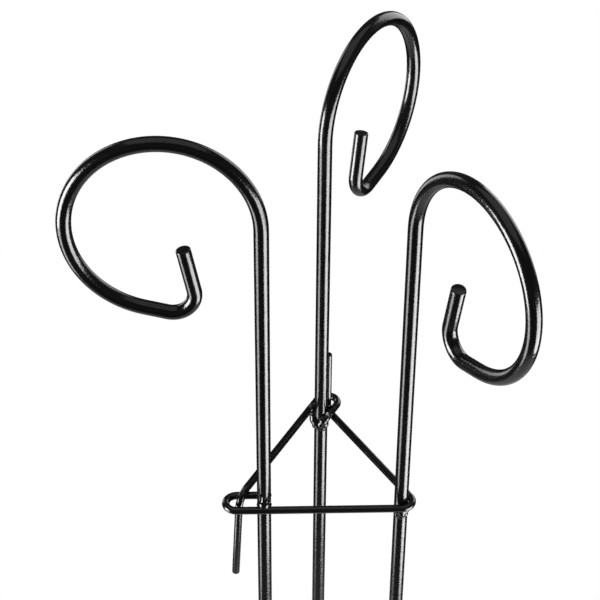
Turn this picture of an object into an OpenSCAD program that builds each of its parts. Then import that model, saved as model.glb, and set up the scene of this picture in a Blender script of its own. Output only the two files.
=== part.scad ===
// Three-arm hanging stand for feeders: two poles welded into a front frame, and a rear pole
// whose latch wires hook onto that frame. Millimetres, +Z up, the ground is at Z = 0.

/* [Rod and wire] */
// Diameter of the three poles
rod_d = 8; // [6:0.5:12]
// Diameter of the link wires
wire_d = 4.4; // [3:0.1:6]

/* [Stand] */
// Distance between the two front poles
front_spacing = 78; // [60:1:120]
// Distance of the rear pole behind the front pair
rear_depth = 76; // [60:1:120]
// Sideways place of the rear pole from the middle of the front pair
rear_shift = -4; // [-12:1:12]

/* [Heights] */
// Length of pole that stands in the ground
ground_depth = 200; // [120:5:300]
// Length of the ground spike's point
spike_taper = 45; // [20:1:80]
// Diameter of the blunt tip of the spike
spike_tip_d = 1.6; // [1:0.1:4]
// Height of the lower link wires above the ground
lower_link_z = 300; // [150:5:500]
// Height of the upper link wires above the ground
upper_link_z = 1060; // [800:5:1800]
// Straight pole between the upper link and the start of the hook
hook_stem = 185; // [120:1:300]

/* [Hooks] */
// Centreline radius of the large curl
hook_radius = 50; // [35:1:80]
// Angle of the large curl
hook_sweep = 257; // [230:1:270]
// Straight run after the large curl
hook_run = 12; // [6:1:24]
// Centreline radius of the bend at the lip
lip_radius = 12; // [10:0.5:16]
// Angle of the bend at the lip
lip_bend = 114; // [95:1:125]
// Straight tail of the lip
lip_length = 26; // [15:1:35]
// Turn of the left hook away from its side of the pole triangle
left_swing = 3; // [-15:0.5:15]
// Turn of the right hook away from its side of the pole triangle
right_swing = 1.5; // [-15:0.5:15]
// Turn of the rear hook away from its side of the pole triangle
rear_swing = 3; // [-15:0.5:15]

/* [Links] */
// Gap between a pole and the wire that is welded to it
weld_gap = 0.1; // [0.05:0.05:0.3]
// Length of wire end that runs past the pole where it is welded
end_past = 2.5; // [1:0.5:5]
// From the left pole's axis to the middle of the loop's turn
frame_loop = 15.5; // [13:0.5:24]
// Height of the upright pin over the link wire
upright_pin = 43; // [25:1:60]
// Centreline radius of the bend under the upright pin
upright_bend = 5; // [4:0.5:8]
// Side of the rear pole that the upright pin stands on, as a heading
upright_heading = 54; // [50:1:60]
// Gap between the upright pin and the rear pole
upright_gap = 1; // [0.6:0.1:1.2]
// From the rear pole's axis to the middle of the latch loop's turn
latch_loop = 8; // [7.5:0.5:14]
// Vertical gap between the straight latch wire and the frame wire under it
seat_gap = 0.7; // [0.6:0.1:1.5]
// From the left pole's axis to the drop pin, level with the loop
drop_pin_place = 14.2; // [12:0.1:16]
// Distance of the drop pin in front of the middle of the loop
drop_pin_front = 0.5; // [0:0.1:1]
// Length of drop pin below the loop
drop_pin_reach = 54; // [30:1:60]
// Outward lean of the drop pin
drop_pin_lean = 3; // [0:0.5:3]
// Centreline radius of the bend over the drop pin
drop_bend = 9; // [6:0.5:9]

/* [Welds] */
// Radius of a weld bead
bead_r = 4.2; // [3.6:0.1:5]
// Distance from the wire's middle up or down to the middle of a bead
bead_shift = 2; // [1:0.1:3]
// Distance that the rear right bead is laid back from the pole's middle, to clear the side bar
bead_back = 2; // [1.5:0.1:3]

/* [Hidden] */
$fn = 96;
rod_r = rod_d / 2;
wire_r = wire_d / 2;
weld_offset = rod_r + wire_r + weld_gap;
rear_rise = wire_d + seat_gap;
ball_swell = 0.1;
ball_reach = 0.2;

// The origin is a third of the way back from the front pair to the rear pole.
left_pole_at = [-front_spacing / 2, -rear_depth / 3];
right_pole_at = [front_spacing / 2, -rear_depth / 3];
rear_pole_at = [rear_shift, rear_depth * 2 / 3];
left_heading = 180 - left_swing;
right_heading = 300 - right_swing;
rear_heading = 60 - rear_swing;

// The frame wire leaves the right pole on a tangent and ends under the upright pin.
upright_at = rear_pole_at + (weld_offset - weld_gap + upright_gap) * toward(upright_heading);
to_upright = upright_at - right_pole_at;
side_heading = heading_of(to_upright) + asin(weld_offset / norm(to_upright));
side_run = sqrt(pow(norm(to_upright), 2) - pow(weld_offset, 2));

// The latch wire runs on a tangent from the rear pole to the corner over the drop pin.
drop_corner = left_pole_at - [drop_pin_place - rear_rise * tan(drop_pin_lean), drop_pin_front];
to_rear = rear_pole_at - drop_corner;
latch_heading = heading_of(to_rear) + asin(weld_offset / norm(to_rear));
latch_run = sqrt(pow(norm(to_rear), 2) - pow(weld_offset, 2));
drop_turn = acos(cos(latch_heading) * sin(drop_pin_lean));
drop_roll = atan2(-sin(drop_pin_lean) * sin(latch_heading), cos(drop_pin_lean));
drop_tangent = drop_bend * tan(drop_turn / 2);
drop_straight = (rear_rise + drop_pin_reach) / cos(drop_pin_lean) - drop_tangent;

LEFT = 90;
UP = 180;

function toward(heading) = [cos(heading), sin(heading)];
function heading_of(v) = atan2(v[1], v[0]);

// A round bar along local +Z. Each step is [straight length, bend radius, bend angle, roll],
// and the roll turns the bend about the bar, from local +X.
// A ball a hair thicker than the bar joins each straight length to its bend.
module bent_bar(d, steps, i = 0) {
    if (i < len(steps)) {
        run = steps[i][0];
        radius = steps[i][1];
        angle = steps[i][2];
        roll = steps[i][3];
        from = i > 0 ? ball_reach : 0;
        to = angle > 0 ? run - ball_reach : run;
        translate([0, 0, from])
        cylinder(d = d, h = to - from);
        if (i > 0) sphere(d = d + ball_swell);
        if (angle > 0) {
            translate([0, 0, run])
            sphere(d = d + ball_swell);
            translate([0, 0, run])
            rotate([0, 0, roll])
            translate([radius, 0, 0]) {
                rotate([90, 0, 180])
                rotate_extrude(angle = angle)
                translate([radius, 0])
                circle(d = d);
                rotate([0, angle, 0])
                translate([-radius, 0, 0])
                rotate([0, 0, -roll])
                bent_bar(d, steps, i + 1);
            }
        }
    }
}

// Lays a bar out level from a start point: its local +Z takes the heading, local +X is down.
module level_from(start, z, heading) {
    translate([start[0], start[1], z])
    rotate([0, 90, heading])
    children();
}

// One pole: ground spike, straight length and curled hook with its lip.
module pole(heading) {
    rotate([0, 0, heading])
    translate([0, 0, -ground_depth]) {
        cylinder(d1 = spike_tip_d, d2 = rod_d, h = spike_taper);
        translate([0, 0, spike_taper])
        bent_bar(rod_d, [
            [ground_depth + upper_link_z + hook_stem - spike_taper, hook_radius, hook_sweep, 0],
            [hook_run, lip_radius, lip_bend, 0],
            [lip_length, 0, 0, 0]
        ]);
    }
}

module pole_left() {
    color("#17181a")
    translate(left_pole_at)
    pole(left_heading);
}

module pole_right() {
    color("#17181a")
    translate(right_pole_at)
    pole(right_heading);
}

module pole_rear() {
    color("#17181a")
    translate([rear_pole_at[0], rear_pole_at[1], rear_rise])
    pole(rear_heading);
}

// Frame wire: loop round the drop pin, front bar, bend round the right pole, side bar, upright pin.
module frame_wire(z) {
    level_from(left_pole_at + [end_past, weld_offset], z, 180)
    bent_bar(wire_d, [
        [end_past + frame_loop, weld_offset, 180, LEFT],
        [frame_loop + front_spacing, weld_offset, side_heading, LEFT],
        [side_run - upright_bend, upright_bend, 90, UP],
        [upright_pin - upright_bend, 0, 0, 0]
    ]);
}

// Latch wire: loop round the upright pin, long bar to the left, bend down into the drop pin.
module latch_wire(z) {
    start = rear_pole_at - end_past * toward(latch_heading)
        + weld_offset * toward(latch_heading - 90);
    level_from(start, z + rear_rise, latch_heading)
    bent_bar(wire_d, [
        [end_past + latch_loop, weld_offset, 180, LEFT],
        [latch_loop + latch_run - drop_tangent, drop_bend, drop_turn, drop_roll],
        [drop_straight, 0, 0, 0]
    ]);
}

module frame_wire_upper() {
    color("#1b1c1e")
    frame_wire(upper_link_z);
}

module frame_wire_lower() {
    color("#1b1c1e")
    frame_wire(lower_link_z);
}

module latch_wire_upper() {
    color("#1b1c1e")
    latch_wire(upper_link_z);
}

module latch_wire_lower() {
    color("#1b1c1e")
    latch_wire(lower_link_z);
}

// One weld bead where a wire passes a pole on the given side, above (1) or below (-1) the wire
// and laid back along it. The wire may bend round the pole, on the far side of its middle.
module bead(pole_at, side, z, above, back = 0, bent = false) {
    contact = pole_at + rod_r * toward(side) - back * toward(side + 90);
    wire_at = pole_at + weld_offset * toward(side);
    color("#202124")
    difference() {
        translate([contact[0], contact[1], z + above * bead_shift])
        rotate([0, 90, side])
        sphere(r = bead_r);
        translate([pole_at[0], pole_at[1], z - 2 * rod_d])
        cylinder(d = rod_d, h = 4 * rod_d);
        translate([wire_at[0], wire_at[1], z])
        rotate([0, 90, side + 90])
        cylinder(d = wire_d, h = 6 * rod_d, center = true);
        if (bent) {
            translate([pole_at[0], pole_at[1], z])
            rotate_extrude()
            translate([weld_offset, 0])
            circle(d = wire_d);
            translate([wire_at[0], wire_at[1], z])
            sphere(d = wire_d + ball_swell);
        }
    }
}

module weld_left_front(z) {
    bead(left_pole_at, -90, z, 1);
}

module weld_left_back(z) {
    bead(left_pole_at, 90, z, 1);
}

module weld_right(z) {
    bead(right_pole_at, -90, z, -1, bent = true);
}

module weld_rear_left(z) {
    bead(rear_pole_at, latch_heading + 90, z + rear_rise, -1);
}

module weld_rear_right(z) {
    bead(rear_pole_at, latch_heading - 90, z + rear_rise, -1, back = bead_back);
}

pole_left();
pole_right();
pole_rear();
frame_wire_upper();
frame_wire_lower();
latch_wire_upper();
latch_wire_lower();
weld_left_front(upper_link_z);  // weld_left_front_upper
weld_left_back(upper_link_z);  // weld_left_back_upper
weld_right(upper_link_z);  // weld_right_upper
weld_rear_left(upper_link_z);  // weld_rear_left_upper
weld_rear_right(upper_link_z);  // weld_rear_right_upper
weld_left_front(lower_link_z);  // weld_left_front_lower
weld_left_back(lower_link_z);  // weld_left_back_lower
weld_right(lower_link_z);  // weld_right_lower
weld_rear_left(lower_link_z);  // weld_rear_left_lower
weld_rear_right(lower_link_z);  // weld_rear_right_lower
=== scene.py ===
"""Looks for a three-arm hanging stand: bent bars, laid weld beads and glossy black paint."""

import logging
import math
from dataclasses import dataclass
from enum import Enum
from typing import Any, Iterable, Sequence

import bmesh
import bpy
from mathutils import Matrix, Vector

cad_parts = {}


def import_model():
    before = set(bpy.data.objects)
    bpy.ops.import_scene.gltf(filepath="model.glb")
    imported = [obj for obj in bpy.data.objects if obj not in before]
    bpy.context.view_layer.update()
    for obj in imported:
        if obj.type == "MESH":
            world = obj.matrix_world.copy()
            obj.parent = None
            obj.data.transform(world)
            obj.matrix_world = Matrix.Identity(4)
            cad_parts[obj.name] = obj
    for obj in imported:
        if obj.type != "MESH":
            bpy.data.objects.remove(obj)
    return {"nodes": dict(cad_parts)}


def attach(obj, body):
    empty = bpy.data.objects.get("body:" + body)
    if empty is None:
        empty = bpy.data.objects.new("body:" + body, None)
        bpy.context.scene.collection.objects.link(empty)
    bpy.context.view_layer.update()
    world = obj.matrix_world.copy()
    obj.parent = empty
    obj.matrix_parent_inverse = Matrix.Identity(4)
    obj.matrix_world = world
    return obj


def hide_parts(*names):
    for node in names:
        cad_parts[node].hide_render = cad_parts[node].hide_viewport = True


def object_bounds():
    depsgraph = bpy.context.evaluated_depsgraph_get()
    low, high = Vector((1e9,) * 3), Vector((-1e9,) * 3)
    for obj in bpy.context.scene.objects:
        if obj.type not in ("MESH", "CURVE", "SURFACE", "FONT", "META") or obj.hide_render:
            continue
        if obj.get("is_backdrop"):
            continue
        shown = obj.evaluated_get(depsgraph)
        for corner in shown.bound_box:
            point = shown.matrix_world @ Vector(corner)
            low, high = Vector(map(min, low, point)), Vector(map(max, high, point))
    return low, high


LOG = logging.getLogger("stand")
MM = 0.001

# Directions that the left, right and rear hooks are meant to point in, before their swing.
HOOK_HEADINGS = (180.0, 300.0, 60.0)

# How finely bars and beads are made.
WIRE_SIDES = 28
WIRE_END_ROUND = 0.6 * MM
LEAST_BEND_STEPS = 6
END_SEGMENTS = 4
DROP_SUBDIVISIONS = 3
SHARP_FROM = 50.0

Edges = list[bmesh.types.BMEdge]


class Level(Enum):
    """The two heights at which wires tie the poles together."""

    UPPER = "upper"
    LOWER = "lower"


class Turn(Enum):
    """Which way a bar bends out of a level run: the roll about the bar, in degrees."""

    LEFT = 90.0
    UP = 180.0


def toward(heading: float) -> Vector:
    """Return the level unit vector at a heading in degrees."""
    return Vector((math.cos(math.radians(heading)), math.sin(math.radians(heading)), 0.0))


def heading_of(vector: Vector) -> float:
    """Return the heading of a vector in degrees."""
    return math.degrees(math.atan2(vector.y, vector.x))


def turned(axis: str, degrees: float) -> Matrix:
    """Return a rotation about X, Y or Z."""
    return Matrix.Rotation(math.radians(degrees), 4, axis)


def moved(x: float = 0.0, y: float = 0.0, z: float = 0.0) -> Matrix:
    """Return a translation."""
    return Matrix.Translation((x, y, z))


@dataclass(frozen=True)
class StandSizes:
    """The stand's driving dimensions in metres and degrees, as the CAD model has them."""

    rod_d: float = 8 * MM
    wire_d: float = 4.4 * MM
    front_spacing: float = 78 * MM
    rear_depth: float = 76 * MM
    rear_shift: float = -4 * MM
    ground_depth: float = 200 * MM
    spike_taper: float = 45 * MM
    spike_tip_d: float = 1.6 * MM
    lower_link_z: float = 300 * MM
    upper_link_z: float = 1060 * MM
    hook_stem: float = 185 * MM
    hook_radius: float = 50 * MM
    hook_sweep: float = 257.0
    hook_run: float = 12 * MM
    lip_radius: float = 12 * MM
    lip_bend: float = 114.0
    lip_length: float = 26 * MM
    left_swing: float = 3.0
    right_swing: float = 1.5
    rear_swing: float = 3.0
    weld_gap: float = 0.1 * MM
    end_past: float = 2.5 * MM
    frame_loop: float = 15.5 * MM
    upright_pin: float = 43 * MM
    upright_bend: float = 5 * MM
    upright_heading: float = 54.0
    upright_gap: float = 1.0 * MM
    latch_loop: float = 8 * MM
    seat_gap: float = 0.7 * MM
    drop_pin_place: float = 14.2 * MM
    drop_pin_front: float = 0.5 * MM
    drop_pin_reach: float = 54 * MM
    drop_pin_lean: float = 3.0
    drop_bend: float = 9 * MM

    @property
    def weld_offset(self) -> float:
        """Distance from a pole's axis to the axis of a wire that is welded to it."""
        return self.rod_d / 2 + self.wire_d / 2 + self.weld_gap

    @property
    def rear_rise(self) -> float:
        """How far the rear frame sits above the front frame."""
        return self.wire_d + self.seat_gap

    @property
    def left_at(self) -> Vector:
        """The left pole's place on the ground."""
        return Vector((-self.front_spacing / 2, -self.rear_depth / 3, 0))

    @property
    def right_at(self) -> Vector:
        """The right pole's place on the ground."""
        return Vector((self.front_spacing / 2, -self.rear_depth / 3, 0))

    @property
    def rear_at(self) -> Vector:
        """The rear pole's place on the ground."""
        return Vector((self.rear_shift, self.rear_depth * 2 / 3, 0))

    def link_z(self, level: Level) -> float:
        """Return the height of the frame wire at a level."""
        return self.upper_link_z if level is Level.UPPER else self.lower_link_z

    @property
    def side_bar(self) -> tuple[float, float]:
        """Heading and length of the frame wire's run from the right pole to the upright pin."""
        reach = self.weld_offset - self.weld_gap + self.upright_gap
        way = self.rear_at + reach * toward(self.upright_heading) - self.right_at
        heading = heading_of(way) + math.degrees(math.asin(self.weld_offset / way.length))
        return heading, math.sqrt(way.length**2 - self.weld_offset**2)

    @property
    def latch_bar(self) -> tuple[float, float]:
        """Heading and length of the latch wire's run between the rear pole and the drop pin."""
        lean = math.tan(math.radians(self.drop_pin_lean))
        place = self.drop_pin_place - self.rear_rise * lean
        corner = self.left_at - Vector((place, self.drop_pin_front, 0))
        way = self.rear_at - corner
        heading = heading_of(way) + math.degrees(math.asin(self.weld_offset / way.length))
        return heading, math.sqrt(way.length**2 - self.weld_offset**2)


@dataclass(frozen=True)
class Step:
    """One straight run of a bar and the bend after it."""

    run: float
    radius: float = 0.0
    angle: float = 0.0
    roll: float = 0.0


@dataclass
class Bar:
    """A round bar, formed as on a wire bender: runs and bends from one end to the other."""

    diameter: float
    start: Matrix
    steps: Sequence[Step]
    sides: int = 40
    run_piece: float = 40 * MM
    bend_piece: float = 3.0
    end_round: float = 0.7 * MM
    tip_diameter: float = 0.0
    tip_length: float = 0.0
    tip_round: float = 0.35

    def build(self) -> bmesh.types.BMesh:
        """Form the bar.

        Returns:
            A closed mesh of the whole bar, in the stand's own frame.
        """
        bm = bmesh.new()
        start_d = self.tip_diameter or self.diameter
        bmesh.ops.create_circle(bm, segments=self.sides, radius=start_d / 2, matrix=self.start)
        ring = list(bm.edges)
        bmesh.ops.edgeloop_fill(bm, edges=ring)
        here = self.start.copy()
        ends = [list(ring)]
        if self.tip_diameter:
            ring = self._push(bm, ring, here, self.tip_length)
            grow = self.diameter / self.tip_diameter
            here = here @ moved(z=self.tip_length)
            points = self._points(ring)
            bmesh.ops.scale(bm, vec=(grow, grow, 1), space=here.inverted(), verts=points)
        for step in self.steps:
            pieces = max(1, round(step.run / self.run_piece))
            for _ in range(pieces):
                ring = self._push(bm, ring, here, step.run / pieces)
                here = here @ moved(z=step.run / pieces)
            if step.angle:
                ring = self._bend(bm, ring, here, step)
                here = self._after_bend(here, step)
        bmesh.ops.edgeloop_fill(bm, edges=ring)
        ends.append(list(ring))
        start_round = self.tip_diameter * self.tip_round or self.end_round
        self._round_off(bm, ends[0], start_round)
        self._round_off(bm, ends[1], self.end_round)
        bmesh.ops.recalc_face_normals(bm, faces=list(bm.faces))
        self._put_in_order(bm)
        return bm

    @staticmethod
    def _put_in_order(bm: bmesh.types.BMesh) -> None:
        """Sort the faces by their points, so that every run gives the same mesh."""
        bm.verts.index_update()
        count = len(bm.verts)

        def place(face: bmesh.types.BMFace) -> int:
            """Return one number made of the face's three lowest points."""
            first, second, third = sorted(point.index for point in face.verts)[:3]
            return (first * count + second) * count + third

        bm.faces.sort(key=place)

    @staticmethod
    def _points(ring: Edges) -> list[bmesh.types.BMVert]:
        """Return a ring's points, each once and in the same order on every run."""
        return list(dict.fromkeys(point for edge in ring for point in edge.verts))

    @staticmethod
    def _push(bm: bmesh.types.BMesh, ring: Edges, here: Matrix, length: float) -> Edges:
        """Extrude the ring along the bar and return the new ring's edges."""
        made = bmesh.ops.extrude_edge_only(bm, edges=ring)["geom"]
        verts = [g for g in made if isinstance(g, bmesh.types.BMVert)]
        bmesh.ops.translate(bm, vec=here.col[2].xyz * length, verts=verts)
        edges = [g for g in made if isinstance(g, bmesh.types.BMEdge)]
        return [e for e in edges if all(v in verts for v in e.verts)]

    def _bend(self, bm: bmesh.types.BMesh, ring: Edges, here: Matrix, step: Step) -> Edges:
        """Spin the ring round the bend's centre and return the last ring's edges."""
        rolled = here @ turned("Z", step.roll)
        centre = (rolled @ moved(x=step.radius)).translation
        made = bmesh.ops.spin(
            bm,
            geom=ring + self._points(ring),
            cent=centre,
            axis=rolled.col[1].xyz,
            angle=math.radians(step.angle),
            steps=max(LEAST_BEND_STEPS, round(step.angle / self.bend_piece)),
            use_merge=False,
        )["geom_last"]
        return [g for g in made if isinstance(g, bmesh.types.BMEdge)]

    @staticmethod
    def _after_bend(here: Matrix, step: Step) -> Matrix:
        """Return the bar's frame at the end of a bend."""
        out = moved(x=step.radius) @ turned("Y", step.angle) @ moved(x=-step.radius)
        return here @ turned("Z", step.roll) @ out @ turned("Z", -step.roll)

    @staticmethod
    def _round_off(bm: bmesh.types.BMesh, rim: Edges, offset: float) -> None:
        """Round the edge of a cut end, as the paint leaves it."""
        bmesh.ops.bevel(
            bm,
            geom=[e for e in rim if e.is_valid],
            offset=offset,
            segments=END_SEGMENTS,
            profile=0.5,
            affect="EDGES",
            material=-1,
        )


class Value:
    """A shader socket with arithmetic, so that node maths reads as a formula."""

    def __init__(self, board: "Board", socket: bpy.types.NodeSocket) -> None:
        """Keep the socket and the board that its nodes go on."""
        self.board = board
        self.socket = socket

    def _math(self, operation: str, *values: Any) -> "Value":
        """Add a Math node of these values."""
        inputs = dict(enumerate(values))
        return self.board.node("ShaderNodeMath", {"operation": operation}, inputs)

    def __add__(self, other: Any) -> "Value":
        """Return self + other."""
        return self._math("ADD", self, other)

    __radd__ = __add__

    def __mul__(self, other: Any) -> "Value":
        """Return self * other."""
        return self._math("MULTIPLY", self, other)

    __rmul__ = __mul__

    def above(self, low: float, high: float) -> "Value":
        """Return 0 below low, 1 above high, and a smooth step between."""
        settings = {"interpolation_type": "SMOOTHSTEP"}
        inputs = {"Value": self, "From Min": low, "From Max": high}
        return self.board.node("ShaderNodeMapRange", settings, inputs)


class Board:
    """The node tree of a material or world, with one method that makes nodes."""

    def __init__(self, owner: bpy.types.Material | bpy.types.World) -> None:
        """Empty the owner's node tree, ready for new nodes."""
        self.owner = owner
        owner.use_nodes = True
        self.tree = owner.node_tree
        self.tree.nodes.clear()

    def node(
        self,
        kind: str,
        settings: dict[str, Any] | None = None,
        inputs: dict[Any, Any] | None = None,
        output: str | int = 0,
    ) -> "Value | None":
        """Add a node.

        Args:
            kind: The node's type.
            settings: Its own settings, set first.
            inputs: Its sockets by name or number, as constants or Values.
            output: The output socket to return.

        Returns:
            The output socket, wrapped for arithmetic, or None for a node that has none.
        """
        made = self.tree.nodes.new(kind)
        for key, value in (settings or {}).items():
            setattr(made, key, value)
        for key, value in (inputs or {}).items():
            if isinstance(value, Value):
                self.tree.links.new(value.socket, made.inputs[key])
            else:
                made.inputs[key].default_value = value
        return Value(self, made.outputs[output]) if made.outputs else None

    def noise(self, where: Value, size: float, detail: float = 2.0, rough: float = 0.5) -> Value:
        """Return noise whose lumps are about this size, in metres."""
        inputs = {"Vector": where, "Scale": 1 / size, "Detail": detail, "Roughness": rough}
        return self.node("ShaderNodeTexNoise", {}, inputs)

    def blend(self, share: Value, low: Any, high: Any) -> Value:
        """Return a colour between two, each plain or a Value, by a share from 0 to 1."""
        settings = {"data_type": "RGBA"}
        ends = [end if isinstance(end, Value) else (*end, 1.0) for end in (low, high)]
        inputs = {0: share, 6: ends[0], 7: ends[1]}
        return self.node("ShaderNodeMix", settings, inputs, output=2)


@dataclass(frozen=True)
class PowderCoat:
    """Glossy black powder coat with orange peel, thin dust and small changes of gloss."""

    name: str
    black: float = 0.0009
    thin: float = 0.0024
    gloss: float = 0.13
    haze: float = 0.07
    peel_size: float = 1.5 * MM
    peel_height: float = 0.1 * MM
    grit_size: float = 0.6 * MM
    grit_height: float = 0.05 * MM
    lump_size: float = 3.2 * MM
    lump_height: float = 0.0
    cloud_size: float = 28 * MM
    cloud_edges: tuple[float, float] = (0.35, 0.7)
    cloud_share: float = 0.6
    speck_size: float = 0.8 * MM
    speck_edges: tuple[float, float] = (0.68, 0.78)
    speck_share: float = 0.4
    speck_haze: float = 0.12
    grit_haze: float = 0.4
    index: float = 1.5
    coat: float = 0.6
    coat_gloss: float = 0.1

    def material(self) -> bpy.types.Material:
        """Build the paint's material.

        Returns:
            The material, on Object coordinates.
        """
        board = Board(bpy.data.materials.new(self.name))
        where = board.node("ShaderNodeTexCoord", output="Object")
        peel = board.noise(where, self.peel_size, detail=1.5)
        grit = board.noise(where, self.grit_size, detail=3.0, rough=0.6)
        cloud = board.noise(where, self.cloud_size, detail=3.0)
        speck = board.noise(where, self.speck_size).above(*self.speck_edges)
        lumps = board.noise(where, self.lump_size)
        height = peel * self.peel_height + grit * self.grit_height + lumps * self.lump_height
        bump = board.node(
            "ShaderNodeBump", {}, {"Strength": 1.0, "Distance": 1.0, "Height": height}
        )
        colour = board.blend(
            cloud.above(*self.cloud_edges) * self.cloud_share + speck * self.speck_share,
            (self.black,) * 3,
            (self.thin,) * 3,
        )
        dull = cloud * self.haze + grit * (self.haze * self.grit_haze) + speck * self.speck_haze
        shader = board.node(
            "ShaderNodeBsdfPrincipled",
            {},
            {
                "Base Color": colour,
                "Roughness": dull + self.gloss,
                "Normal": bump,
                "IOR": self.index,
                "Coat Weight": self.coat,
                "Coat Roughness": self.coat_gloss,
            },
        )
        board.node("ShaderNodeOutputMaterial", {}, {"Surface": shader})
        return board.owner


class Finishes:
    """The paints on the stand's three kinds of metal, by the record's slots."""

    def __init__(self) -> None:
        """Make the paints."""
        rod = PowderCoat("gloss_black_rod")
        wire = PowderCoat(
            "gloss_black_wire", black=0.001, thin=0.003, gloss=0.12, peel_size=1.3 * MM
        )
        weld = PowderCoat(
            "gloss_black_weld",
            black=0.001,
            thin=0.003,
            gloss=0.15,
            peel_height=0.08 * MM,
            grit_height=0.02 * MM,
            lump_height=0.12 * MM,
        )
        self.by_slot = {
            "rod_paint": rod.material(),
            "wire_paint": wire.material(),
            "weld_paint": weld.material(),
        }


def into_scene(name: str, data: bpy.types.ID) -> bpy.types.Object:
    """Make an object of a mesh, light or camera, link it to the scene and return it."""
    made = bpy.data.objects.new(name, data)
    bpy.context.scene.collection.objects.link(made)
    return made


def as_mesh(name: str, bm: bmesh.types.BMesh) -> bpy.types.Mesh:
    """Turn a bmesh into a mesh of this name, and free the bmesh."""
    mesh = bpy.data.meshes.new(name)
    bm.to_mesh(mesh)
    bm.free()
    return mesh


@dataclass
class Workshop:
    """Turns finished meshes into pieces that ride on the CAD bodies."""

    finishes: Finishes

    def hand_over(self, bm: bmesh.types.BMesh, node: str, body: str, slot: str) -> None:
        """Make the piece that stands for one CAD node.

        Args:
            bm: The piece's mesh, which is freed.
            node: The CAD node that it replaces.
            body: The body that it rides on.
            slot: The record's material slot.
        """
        mesh = as_mesh(f"{node}_formed", bm)
        mesh.shade_smooth()
        mesh.set_sharp_from_angle(angle=math.radians(SHARP_FROM))
        mesh.materials.append(self.finishes.by_slot[slot])
        piece = into_scene(f"{node}_formed", mesh)
        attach(piece, body)
        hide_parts(node)
        LOG.info("%s: %d faces on %s", piece.name, len(mesh.polygons), body)


@dataclass
class Pole:
    """One pole: ground spike, long straight rod and curled hook with its lip."""

    node: str
    body: str
    at: Vector
    heading: float
    lift: float
    sizes: StandSizes

    def make(self, shop: Workshop) -> None:
        """Form the rod and hand it over."""
        s = self.sizes
        start = moved(self.at.x, self.at.y, self.lift - s.ground_depth) @ turned("Z", self.heading)
        stem = s.ground_depth + s.upper_link_z + s.hook_stem - s.spike_taper
        rod = Bar(
            diameter=s.rod_d,
            start=start,
            steps=[
                Step(stem, s.hook_radius, s.hook_sweep),
                Step(s.hook_run, s.lip_radius, s.lip_bend),
                Step(s.lip_length),
            ],
            tip_diameter=s.spike_tip_d,
            tip_length=s.spike_taper,
        )
        shop.hand_over(rod.build(), self.node, self.body, "rod_paint")


def level_start(at: Vector, z: float, heading: float) -> Matrix:
    """Return the frame of a bar that sets out level: local +Z ahead, local +X down."""
    return moved(at.x, at.y, z) @ turned("Z", heading) @ turned("Y", 90)


@dataclass
class FrameWire:
    """The wire welded to both front poles, with its loop at one end and upright pin at the other."""

    level: Level
    sizes: StandSizes

    def make(self, shop: Workshop) -> None:
        """Form the wire and hand it over."""
        s = self.sizes
        heading, run = s.side_bar
        start = s.left_at + Vector((s.end_past, s.weld_offset, 0))
        left = Turn.LEFT.value
        wire = Bar(
            diameter=s.wire_d,
            start=level_start(start, s.link_z(self.level), 180),
            steps=[
                Step(s.end_past + s.frame_loop, s.weld_offset, 180, left),
                Step(s.frame_loop + s.front_spacing, s.weld_offset, heading, left),
                Step(run - s.upright_bend, s.upright_bend, 90, Turn.UP.value),
                Step(s.upright_pin - s.upright_bend),
            ],
            sides=WIRE_SIDES,
            end_round=WIRE_END_ROUND,
        )
        shop.hand_over(wire.build(), f"frame_wire_{self.level.value}", "front_frame", "wire_paint")


@dataclass
class LatchWire:
    """The wire welded to the rear pole, with its loop at one end and drop pin at the other."""

    level: Level
    sizes: StandSizes

    def make(self, shop: Workshop) -> None:
        """Form the wire and hand it over."""
        s = self.sizes
        heading, run = s.latch_bar
        lean, ahead = math.radians(s.drop_pin_lean), math.radians(heading)
        turn = math.acos(math.cos(ahead) * math.sin(lean))
        roll = math.atan2(-math.sin(lean) * math.sin(ahead), math.cos(lean))
        tangent = s.drop_bend * math.tan(turn / 2)
        start = s.rear_at - s.end_past * toward(heading) + s.weld_offset * toward(heading - 90)
        wire = Bar(
            diameter=s.wire_d,
            start=level_start(start, s.link_z(self.level) + s.rear_rise, heading),
            steps=[
                Step(s.end_past + s.latch_loop, s.weld_offset, 180, Turn.LEFT.value),
                Step(
                    s.latch_loop + run - tangent,
                    s.drop_bend,
                    math.degrees(turn),
                    math.degrees(roll),
                ),
                Step((s.rear_rise + s.drop_pin_reach) / math.cos(lean) - tangent),
            ],
            sides=WIRE_SIDES,
            end_round=WIRE_END_ROUND,
        )
        shop.hand_over(wire.build(), f"latch_wire_{self.level.value}", "rear_frame", "wire_paint")


@dataclass(frozen=True)
class Lump:
    """One drop of weld metal: its swing round the pole, height from the wire, and radius, in mm."""

    swing: float
    height: float
    radius: float
    out: float = 0.0


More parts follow.
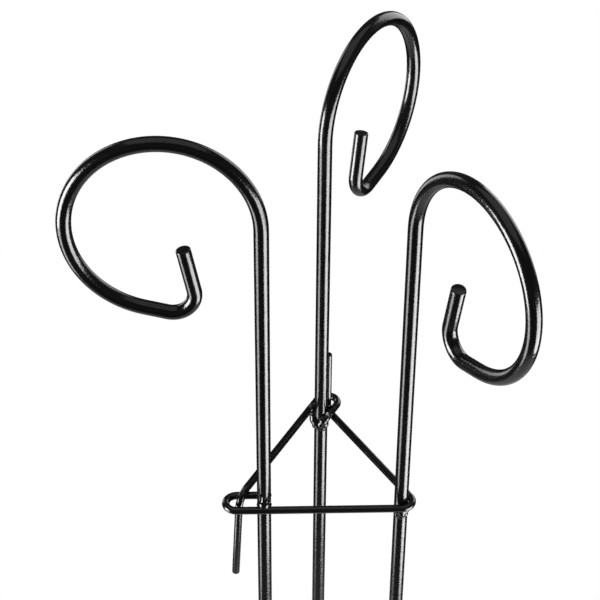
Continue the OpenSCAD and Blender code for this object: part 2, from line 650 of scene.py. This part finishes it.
class Bead(Enum):
    """How the drops of weld metal lie at each joint."""

    FRONT_FILLET = (
        Lump(0, 2.7, 3.0, 0.6),
        Lump(-33, 2.0, 1.8, 0.4),
        Lump(34, 2.1, 1.8, 0.4),
        Lump(3, 5.0, 2.2),
        Lump(-2, 7.2, 1.5, -0.4),
    )
    BACK_FILLET = (
        Lump(0, 2.8, 2.5, 0.3),
        Lump(-28, 2.4, 2.2, 0.2),
        Lump(30, 2.6, 2.3, 0.2),
        Lump(6, 4.8, 1.7, -0.3),
    )
    UNDER_BAR = (
        Lump(0, -3.7, 2.5, 0.5),
        Lump(-32, -3.3, 2.2, 0.5),
        Lump(31, -3.4, 2.1, 0.4),
        Lump(4, -5.0, 1.5, 1.9),
        Lump(-30, -6.6, 1.9, 0.2),
        Lump(29, -6.4, 1.8, 0.3),
        Lump(1, -8.2, 1.7, 0.1),
        Lump(-52, -4.4, 1.6),
    )
    COLLAR_LEFT = (
        Lump(11, 2.0, 1.5, 1.4),
        Lump(30, 0.8, 1.6, 2.1),
        Lump(43, -0.8, 1.4, 3.1),
        Lump(0, -2.6, 2.4, 0.4),
        Lump(24, -3.8, 2.6, 0.3),
        Lump(42, -6.2, 2.8, 0.1),
        Lump(28, -8.4, 2.4),
        Lump(66, -8.0, 2.5, -0.1),
        Lump(90, -9.4, 2.2, -0.2),
        Lump(58, -10.6, 2.0, -0.2),
        Lump(108, -10.8, 1.9, -0.3),
    )
    COLLAR_RIGHT = (
        Lump(-4, -2.7, 2.4, 0.3),
        Lump(-24, -3.6, 2.5, 0.5),
        Lump(-44, -5.4, 2.5, 0.4),
        Lump(-62, -7.8, 2.2, 0.3),
        Lump(-32, -8.2, 2.3, 0.3),
        Lump(-50, -10.8, 2.0, 0.1),
        Lump(-80, -11.0, 1.8),
        Lump(-18, -6.0, 1.9, 0.1),
        Lump(-30, -12.2, 1.5, -0.2),
    )


@dataclass
class WeldBead:
    """Weld metal in the corner between a pole and the wire that crosses it."""

    node: str
    body: str
    at: Vector
    side: float
    z: float
    bead: Bead
    sizes: StandSizes
    voxel: float = 0.32 * MM
    smoothing: int = 20
    swell: float = 1.12

    def make(self, shop: Workshop) -> None:
        """Lay the drops, melt them together and hand the bead over."""
        bm = bmesh.new()
        for lump in self.bead.value:
            reach = self.sizes.rod_d / 2 + lump.out * MM
            place = self.at + reach * toward(self.side + lump.swing)
            bmesh.ops.create_icosphere(
                bm,
                subdivisions=DROP_SUBDIVISIONS,
                radius=lump.radius * self.swell * MM,
                matrix=moved(place.x, place.y, self.z + lump.height * MM),
            )
        shop.hand_over(self._melt(bm), self.node, self.body, "weld_paint")

    def _melt(self, bm: bmesh.types.BMesh) -> bmesh.types.BMesh:
        """Join overlapping drops into one smooth skin.

        Args:
            bm: The drops, which are freed.

        Returns:
            The melted bead.
        """
        helper = into_scene("melt", as_mesh("melt", bm))
        skin = helper.modifiers.new("skin", "REMESH")
        skin.mode = "VOXEL"
        skin.voxel_size = self.voxel
        calm = helper.modifiers.new("calm", "SMOOTH")
        calm.iterations = self.smoothing
        graph = bpy.context.evaluated_depsgraph_get()
        done = bmesh.new()
        done.from_object(helper, graph)
        bpy.data.objects.remove(helper)
        bmesh.ops.recalc_face_normals(done, faces=list(done.faces))
        return done


@dataclass
class Link:
    """Everything that ties the poles together at one level: two wires and five weld beads."""

    level: Level
    sizes: StandSizes

    def make(self, shop: Workshop) -> None:
        """Form both wires and lay the beads."""
        s = self.sizes
        FrameWire(self.level, s).make(shop)
        LatchWire(self.level, s).make(shop)
        z = s.link_z(self.level)
        rear_z = z + s.rear_rise
        latch = s.latch_bar[0]
        for name, body, at, side, height, bead in (
            ("left_front", "front_frame", s.left_at, -90.0, z, Bead.FRONT_FILLET),
            ("left_back", "front_frame", s.left_at, 90.0, z, Bead.BACK_FILLET),
            ("right", "front_frame", s.right_at, -90.0, z, Bead.UNDER_BAR),
            ("rear_left", "rear_frame", s.rear_at, latch + 90, rear_z, Bead.COLLAR_LEFT),
            ("rear_right", "rear_frame", s.rear_at, latch - 90, rear_z, Bead.COLLAR_RIGHT),
        ):
            node = f"weld_{name}_{self.level.value}"
            WeldBead(node, body, at, side, height, bead, s).make(shop)


@dataclass
class Stand:
    """The whole stand: three poles and two links."""

    sizes: StandSizes

    def make(self, shop: Workshop) -> None:
        """Make every pole and link."""
        s = self.sizes
        swings = (s.left_swing, s.right_swing, s.rear_swing)
        left, right, rear = (aim - swing for aim, swing in zip(HOOK_HEADINGS, swings))
        Pole("pole_left", "front_frame", s.left_at, left, 0, s).make(shop)
        Pole("pole_right", "front_frame", s.right_at, right, 0, s).make(shop)
        Pole("pole_rear", "rear_frame", s.rear_at, rear, s.rear_rise, s).make(shop)
        for level in Level:
            Link(level, s).make(shop)


def area_light(name: str, size: tuple[float, float], radiance: float, place: Matrix) -> None:
    """Hang a light panel that the camera doesn't see.

    Args:
        name: The light's name.
        size: Its width and height in metres.
        radiance: How bright its face is.
        place: Where it hangs, shining along its own -Z.
    """
    lamp = bpy.data.lights.new(name, "AREA")
    lamp.shape = "RECTANGLE"
    lamp.size, lamp.size_y = size
    lamp.energy = radiance * math.pi * size[0] * size[1]
    holder = into_scene(name, lamp)
    holder.matrix_world = place
    holder.visible_camera = False


@dataclass(frozen=True)
class Panel:
    """A soft light panel that stands round the object, or hangs over it."""

    name: str
    bearing: float
    distance: float
    width: float
    low: float
    high: float
    radiance: float

    def light(self) -> None:
        """Place the panel, facing the stand's axis. The bearing is from the front to the right."""
        at = self.distance * toward(self.bearing - 90)
        place = moved(at.x, at.y, (self.low + self.high) / 2)
        facing = turned("Z", self.bearing) @ turned("X", 90)
        area_light(self.name, (self.width, self.high - self.low), self.radiance, place @ facing)


@dataclass
class Studio:
    """The floor, the surround and the lights."""

    floor_z: float
    floor_size: float = 24.0
    pale: float = 1.0
    dim_world: float = 0.05
    # Painted reflected light: the floor's glow in glossy paint near the stand and far away, and
    # where it fades.
    painted_glow_near: float = 0.4
    painted_glow_far: float = 0.006
    painted_glow_reach: tuple[float, float] = (0.8, 1.3)
    panels: Sequence[Panel] = (
        Panel("panel_right", 57, 1.2, 1.0, -0.19, 1.15, 8.8),
        Panel("panel_left_low", -70, 1.2, 0.6, -0.19, 0.6, 4.6),
        Panel("panel_left_high", -74, 1.2, 0.62, 0.6, 1.4, 14.0),
        Panel("panel_back_right", 138, 2.2, 1.6, 0.7, 2.6, 1.6),
        Panel("panel_back_left", -140, 2.4, 0.8, 0.0, 2.4, 1.6),
    )
    overhead_radiance: float = 0.35
    overhead_size: float = 3.0
    overhead_z: float = 3.4

    def build(self) -> None:
        """Set up everything round the stand."""
        self._floor()
        self._surround()
        for panel in self.panels:
            panel.light()
        self._overhead()

    def _floor(self) -> None:
        """Lay a plain pale floor, white to look at, whose glow in reflections is painted: bright
        near the stand, dim far off.
        """
        bm = bmesh.new()
        bmesh.ops.create_grid(
            bm,
            x_segments=1,
            y_segments=1,
            size=self.floor_size / 2,
            matrix=moved(z=self.floor_z),
        )
        mesh = as_mesh("floor", bm)
        board = Board(bpy.data.materials.new("pale_floor"))
        seen = board.node("ShaderNodeLightPath", output="Is Glossy Ray")
        where = board.node("ShaderNodeTexCoord", output="Object")
        reach = board.node("ShaderNodeVectorMath", {"operation": "LENGTH"}, {0: where}, "Value")
        far = reach.above(*self.painted_glow_reach)
        # Painted reflected light: glossy paint sees the floor glow brighter near the stand, fading
        # far away.
        dim = board.blend(far, (self.painted_glow_near,) * 3, (self.painted_glow_far,) * 3)
        colour = board.blend(seen, (self.pale,) * 3, dim)
        glow = board.node("ShaderNodeEmission", {}, {"Color": colour, "Strength": 1.0})
        board.node("ShaderNodeOutputMaterial", {}, {"Surface": glow})
        mesh.materials.append(board.owner)
        into_scene("floor", mesh)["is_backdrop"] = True

    def _surround(self) -> None:
        """Fill the world: white to look at, dim as a reflection."""
        world = bpy.data.worlds.new("surround")
        bpy.context.scene.world = world
        board = Board(world)
        seen = board.node("ShaderNodeLightPath", output="Is Glossy Ray")
        white = (1.0, 1.0, 1.0, 1.0)
        bright, dim = (
            board.node("ShaderNodeBackground", {}, {"Color": white, "Strength": strength})
            for strength in (self.pale, self.dim_world)
        )
        either = board.node("ShaderNodeMixShader", {}, {0: seen, 1: bright, 2: dim})
        board.node("ShaderNodeOutputWorld", {}, {"Surface": either})

    def _overhead(self) -> None:
        """Hang a wide dim panel over the stand."""
        size = (self.overhead_size, self.overhead_size)
        area_light("panel_overhead", size, self.overhead_radiance, moved(z=self.overhead_z))


@dataclass(frozen=True)
class View:
    """The camera: where it stands, how it is turned, and its lens."""

    at: tuple[float, float, float] = (-0.0394, -0.7359, 1.7164)
    down: float = 35.89
    turn: float = -1.626
    roll: float = 0.315
    lens: float = 101.34

    def set_up(self) -> None:
        """Make the camera the scene's own."""
        data = bpy.data.cameras.new("view")
        data.lens = self.lens
        data.sensor_width = 36.0
        data.clip_start = 0.05
        data.clip_end = 100.0
        camera = into_scene("view", data)
        aim = turned("Z", self.turn) @ turned("X", 90 - self.down) @ turned("Z", self.roll)
        camera.matrix_world = moved(*self.at) @ aim
        bpy.context.scene.camera = camera


def main() -> None:
    """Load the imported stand, build its looks and set the scene."""
    logging.basicConfig(level=logging.INFO, format="%(message)s")
    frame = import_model()
    cad_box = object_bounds()
    LOG.info("the frame has %d nodes", len(frame["nodes"]))
    View().set_up()
    Stand(StandSizes()).make(Workshop(Finishes()))
    Studio(floor_z=cad_box[0].z).build()
    bpy.context.scene.view_settings.view_transform = "Standard"


if __name__ == "__main__":
    main()
